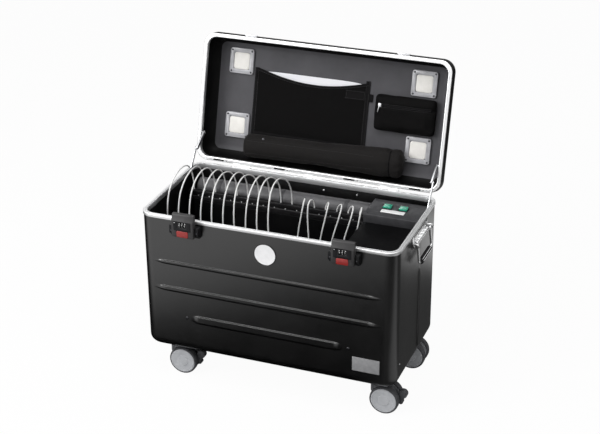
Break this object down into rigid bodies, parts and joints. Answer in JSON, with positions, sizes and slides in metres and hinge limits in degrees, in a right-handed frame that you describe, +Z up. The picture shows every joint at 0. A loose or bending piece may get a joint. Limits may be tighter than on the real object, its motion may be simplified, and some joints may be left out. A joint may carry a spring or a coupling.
{
  "type": "laptop charging cart",
  "caption": "Wheeled charging case, its hinged lid standing open over a slotted rack with charging leads; it has drop handles, combination locks and braked castors.",
  "frame": {"origin": "on the floor, under the middle of the overall box with the lid open", "axes": "+Z up, -Y is the front with the locks, +X is the right-hand end seen from the front"},
  "size_m": [0.7036, 0.5064, 0.7883],
  "materials": {
    "black_plastic": "black satin moulded plastic with a fine grain",
    "dark_plastic": "dark grey satin plastic",
    "dial_plastic": "black plastic with pale numbers",
    "aluminium": "satin anodised",
    "steel": "bright zinc plated",
    "chrome": "bright plated",
    "grip_rubber": "black moulded sleeve",
    "lead_white": "white flexible jacket",
    "rocker_green": "green translucent plastic",
    "button_red": "red moulded plastic",
    "cup_cream": "cream pad in a dark border",
    "nylon": "black woven nylon",
    "wheel_grey": "light grey disc with a dark tread",
    "hood_grey": "dark grey moulded plastic"
  },
  "bodies": {
    "body": {"body_shell": "black_plastic", "body_frame": "aluminium", "slot_rack": "black_plastic", "charger_housing": "black_plastic", "cable_duct": "dark_plastic", "charging_leads": "lead_white", "mains_box": "black_plastic", "bay_cover": "black_plastic", "control_panel": "black_plastic", "power_inlet": "black_plastic", "hinge_pin": "steel", "front_badge": "aluminium", "label_plate": "aluminium", "lock_base_left": "black_plastic", "lock_base_right": "black_plastic", "handle_plate_left": "chrome", "handle_plate_right": "chrome"},
    "lid": {"lid_shell": "black_plastic", "lid_frame": "aluminium", "lid_cup_near_left": "cup_cream", "lid_cup_near_right": "cup_cream", "lid_cup_far_left": "cup_cream", "lid_cup_far_right": "cup_cream", "document_pocket": "nylon", "zip_pouch": "nylon", "rolled_bag": "nylon", "lock_keeper_left": "steel", "lock_keeper_right": "steel"},
    "stay_lower_left": {"stay_lower_left": "steel"},
    "stay_upper_left": {"stay_upper_left": "steel"},
    "stay_lower_right": {"stay_lower_right": "steel"},
    "stay_upper_right": {"stay_upper_right": "steel"},
    "lock_flap_left": {"lock_flap_left": "dark_plastic"},
    "lock_button_left": {"lock_button_left": "button_red"},
    "dial_left_1": {"dial_left_1": "dial_plastic"},
    "dial_left_2": {"dial_left_2": "dial_plastic"},
    "dial_left_3": {"dial_left_3": "dial_plastic"},
    "lock_flap_right": {"lock_flap_right": "dark_plastic"},
    "lock_button_right": {"lock_button_right": "button_red"},
    "dial_right_1": {"dial_right_1": "dial_plastic"},
    "dial_right_2": {"dial_right_2": "dial_plastic"},
    "dial_right_3": {"dial_right_3": "dial_plastic"},
    "rocker_left": {"rocker_left": "rocker_green"},
    "rocker_right": {"rocker_right": "rocker_green"},
    "handle_bail_left": {"handle_bail_left": "chrome", "handle_grip_left": "grip_rubber"},
    "handle_bail_right": {"handle_bail_right": "chrome", "handle_grip_right": "grip_rubber"},
    "castor_front_left": {"castor_hood_front_left": "hood_grey"},
    "wheels_front_left": {"castor_wheels_front_left": "wheel_grey"},
    "pedal_front_left": {"brake_pedal_front_left": "hood_grey"},
    "castor_front_right": {"castor_hood_front_right": "hood_grey"},
    "wheels_front_right": {"castor_wheels_front_right": "wheel_grey"},
    "pedal_front_right": {"brake_pedal_front_right": "hood_grey"},
    "castor_rear_left": {"castor_hood_rear_left": "hood_grey"},
    "wheels_rear_left": {"castor_wheels_rear_left": "wheel_grey"},
    "castor_rear_right": {"castor_hood_rear_right": "hood_grey"},
    "wheels_rear_right": {"castor_wheels_rear_right": "wheel_grey"}
  },
  "joints": [
    {"name": "lid_hinge", "type": "hinge", "parent": "body", "child": "lid", "pos_m": [0, 0.1073, 0.4602], "axis": [1, 0, 0], "range_deg": [0, 105]},
    {"name": "stay_lower_turn_left", "type": "hinge", "parent": "body", "child": "stay_lower_left", "pos_m": [-0.3192, 0.0473, 0.452], "axis": [1, 0, 0], "range_deg": [0, 116.85]},
    {"name": "stay_upper_turn_left", "type": "hinge", "parent": "lid", "child": "stay_upper_left", "pos_m": [-0.3152, 0.13224, 0.53013], "axis": [1, 0, 0], "range_deg": [-134.13, 0]},
    {"name": "stay_lower_turn_right", "type": "hinge", "parent": "body", "child": "stay_lower_right", "pos_m": [0.3192, 0.0473, 0.452], "axis": [1, 0, 0], "range_deg": [0, 116.85]},
    {"name": "stay_upper_turn_right", "type": "hinge", "parent": "lid", "child": "stay_upper_right", "pos_m": [0.3152, 0.13224, 0.53013], "axis": [1, 0, 0], "range_deg": [-134.13, 0]},
    {"name": "lock_flap_turn_left", "type": "hinge", "parent": "body", "child": "lock_flap_left", "pos_m": [-0.203, -0.2387, 0.425], "axis": [1, 0, 0], "range_deg": [0, 75]},
    {"name": "lock_button_press_left", "type": "slide", "parent": "lock_flap_left", "child": "lock_button_left", "axis": [0, 1, 0], "range_m": [0, 0.003], "stiffness_N_per_m": 300},
    {"name": "dial_turn_left_1", "type": "hinge", "parent": "lock_flap_left", "child": "dial_left_1", "pos_m": [-0.21, -0.2458, 0.455], "axis": [1, 0, 0], "continuous": true},
    {"name": "dial_turn_left_2", "type": "hinge", "parent": "lock_flap_left", "child": "dial_left_2", "pos_m": [-0.203, -0.2458, 0.455], "axis": [1, 0, 0], "continuous": true},
    {"name": "dial_turn_left_3", "type": "hinge", "parent": "lock_flap_left", "child": "dial_left_3", "pos_m": [-0.196, -0.2458, 0.455], "axis": [1, 0, 0], "continuous": true},
    {"name": "lock_flap_turn_right", "type": "hinge", "parent": "body", "child": "lock_flap_right", "pos_m": [0.203, -0.2387, 0.425], "axis": [1, 0, 0], "range_deg": [0, 75]},
    {"name": "lock_button_press_right", "type": "slide", "parent": "lock_flap_right", "child": "lock_button_right", "axis": [0, 1, 0], "range_m": [0, 0.003], "stiffness_N_per_m": 300},
    {"name": "dial_turn_right_1", "type": "hinge", "parent": "lock_flap_right", "child": "dial_right_1", "pos_m": [0.196, -0.2458, 0.455], "axis": [1, 0, 0], "continuous": true},
    {"name": "dial_turn_right_2", "type": "hinge", "parent": "lock_flap_right", "child": "dial_right_2", "pos_m": [0.203, -0.2458, 0.455], "axis": [1, 0, 0], "continuous": true},
    {"name": "dial_turn_right_3", "type": "hinge", "parent": "lock_flap_right", "child": "dial_right_3", "pos_m": [0.21, -0.2458, 0.455], "axis": [1, 0, 0], "continuous": true},
    {"name": "rocker_tilt_left", "type": "hinge", "parent": "body", "child": "rocker_left", "pos_m": [0.21595, 0.0496, 0.438], "axis": [1, 0, 0], "range_deg": [-10, 10]},
    {"name": "rocker_tilt_right", "type": "hinge", "parent": "body", "child": "rocker_right", "pos_m": [0.25695, 0.0496, 0.438], "axis": [1, 0, 0], "range_deg": [-10, 10]},
    {"name": "handle_swing_left", "type": "hinge", "parent": "body", "child": "handle_bail_left", "pos_m": [-0.3398, -0.0524, 0.428], "axis": [0, 1, 0], "range_deg": [-6, 84]},
    {"name": "handle_swing_right", "type": "hinge", "parent": "body", "child": "handle_bail_right", "pos_m": [0.3398, -0.0524, 0.428], "axis": [0, -1, 0], "range_deg": [-6, 84]},
    {"name": "castor_swivel_front_left", "type": "hinge", "parent": "body", "child": "castor_front_left", "pos_m": [-0.269, -0.1694, 0.088], "axis": [0, 0, 1], "continuous": true},
    {"name": "wheel_roll_front_left", "type": "hinge", "parent": "castor_front_left", "child": "wheels_front_left", "pos_m": [-0.2465, -0.1694, 0.03704], "axis": [0, 1, 0], "continuous": true},
    {"name": "brake_press_front_left", "type": "hinge", "parent": "castor_front_left", "child": "pedal_front_left", "pos_m": [-0.2135, -0.1694, 0.04104], "axis": [0, 1, 0], "range_deg": [0, 12]},
    {"name": "castor_swivel_front_right", "type": "hinge", "parent": "body", "child": "castor_front_right", "pos_m": [0.269, -0.1694, 0.088], "axis": [0, 0, 1], "continuous": true},
    {"name": "wheel_roll_front_right", "type": "hinge", "parent": "castor_front_right", "child": "wheels_front_right", "pos_m": [0.2915, -0.1694, 0.03704], "axis": [0, 1, 0], "continuous": true},
    {"name": "brake_press_front_right", "type": "hinge", "parent": "castor_front_right", "child": "pedal_front_right", "pos_m": [0.3245, -0.1694, 0.04104], "axis": [0, 1, 0], "range_deg": [0, 12]},
    {"name": "castor_swivel_rear_left", "type": "hinge", "parent": "body", "child": "castor_rear_left", "pos_m": [-0.269, 0.0526, 0.088], "axis": [0, 0, 1], "continuous": true},
    {"name": "wheel_roll_rear_left", "type": "hinge", "parent": "castor_rear_left", "child": "wheels_rear_left", "pos_m": [-0.2465, 0.0526, 0.03704], "axis": [0, 1, 0], "continuous": true},
    {"name": "castor_swivel_rear_right", "type": "hinge", "parent": "body", "child": "castor_rear_right", "pos_m": [0.269, 0.0526, 0.088], "axis": [0, 0, 1], "continuous": true},
    {"name": "wheel_roll_rear_right", "type": "hinge", "parent": "castor_rear_right", "child": "wheels_rear_right", "pos_m": [0.2915, 0.0526, 0.03704], "axis": [0, 1, 0], "continuous": true}
  ],
  "couplings": [
    {"joint": "stay_lower_turn_left", "follows": "lid_hinge", "ratio": 1.1129},
    {"joint": "stay_upper_turn_left", "follows": "lid_hinge", "ratio": -1.2774},
    {"joint": "stay_lower_turn_right", "follows": "lid_hinge", "ratio": 1.1129},
    {"joint": "stay_upper_turn_right", "follows": "lid_hinge", "ratio": -1.2774}
  ]
}
